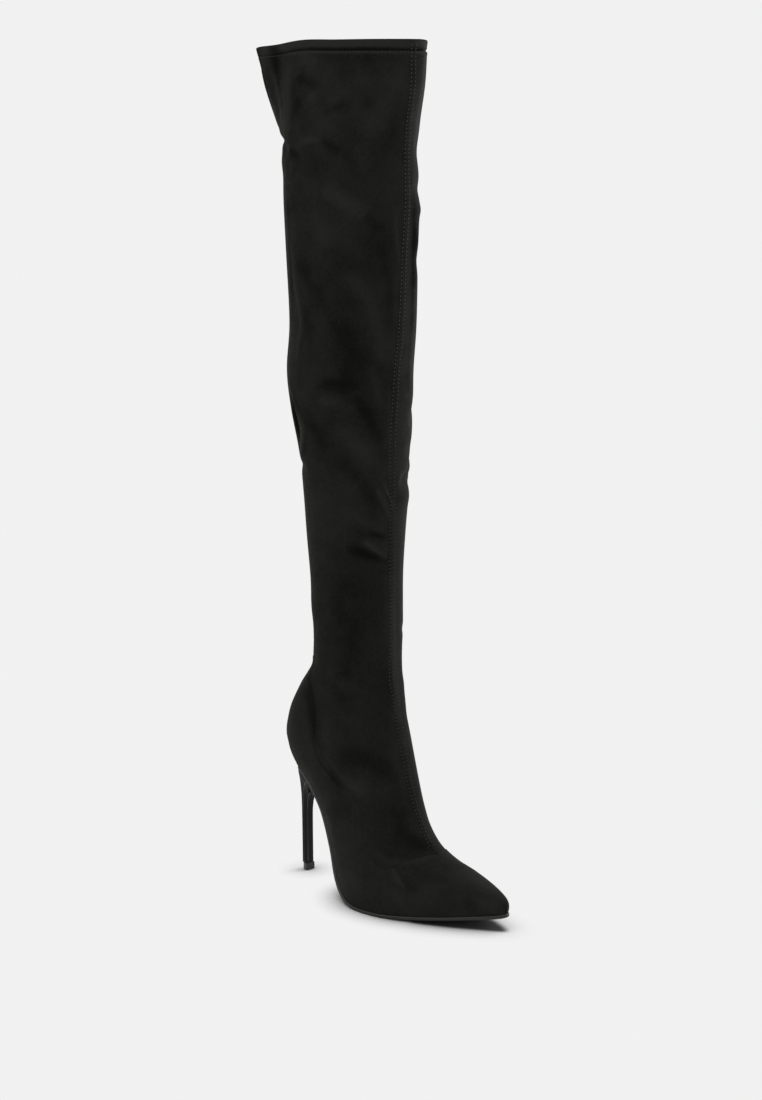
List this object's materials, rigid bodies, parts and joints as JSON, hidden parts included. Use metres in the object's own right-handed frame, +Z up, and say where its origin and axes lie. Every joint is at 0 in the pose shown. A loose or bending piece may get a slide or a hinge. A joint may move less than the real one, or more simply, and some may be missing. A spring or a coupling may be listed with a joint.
{
  "type": "over-the-knee boot",
  "caption": "Over-the-knee stretch boot with a pointed toe, a slim high heel and a short inner zip; the right one of a pair.",
  "frame": {"origin": "centre of the heel's top lift, at the floor", "axes": "+X towards the toe, +Y towards the inner side of the foot, +Z up"},
  "size_m": [0.271, 0.1006, 0.7161],
  "materials": {
    "suede": "matte faux suede",
    "lining": "smooth knitted lining",
    "sole_rubber": "satin",
    "heel_gloss": "gloss",
    "lift_rubber": "matte",
    "zip_teeth": "matte",
    "zip_metal": "satin nickel"
  },
  "bodies": {
    "boot": {"upper": "suede", "insole": "lining", "outsole": "sole_rubber", "heel": "heel_gloss", "top_lift": "lift_rubber", "zip_chain": "zip_teeth", "zip_slider": "zip_metal"},
    "pull": {"zip_pull": "zip_metal"}
  },
  "joints": [
    {"name": "pull_swing", "type": "hinge", "parent": "boot", "child": "pull", "pos_m": [0.06364, 0.04402, 0.31662], "axis": [1, 0.0028, 0], "range_deg": [-6, 150]}
  ]
}
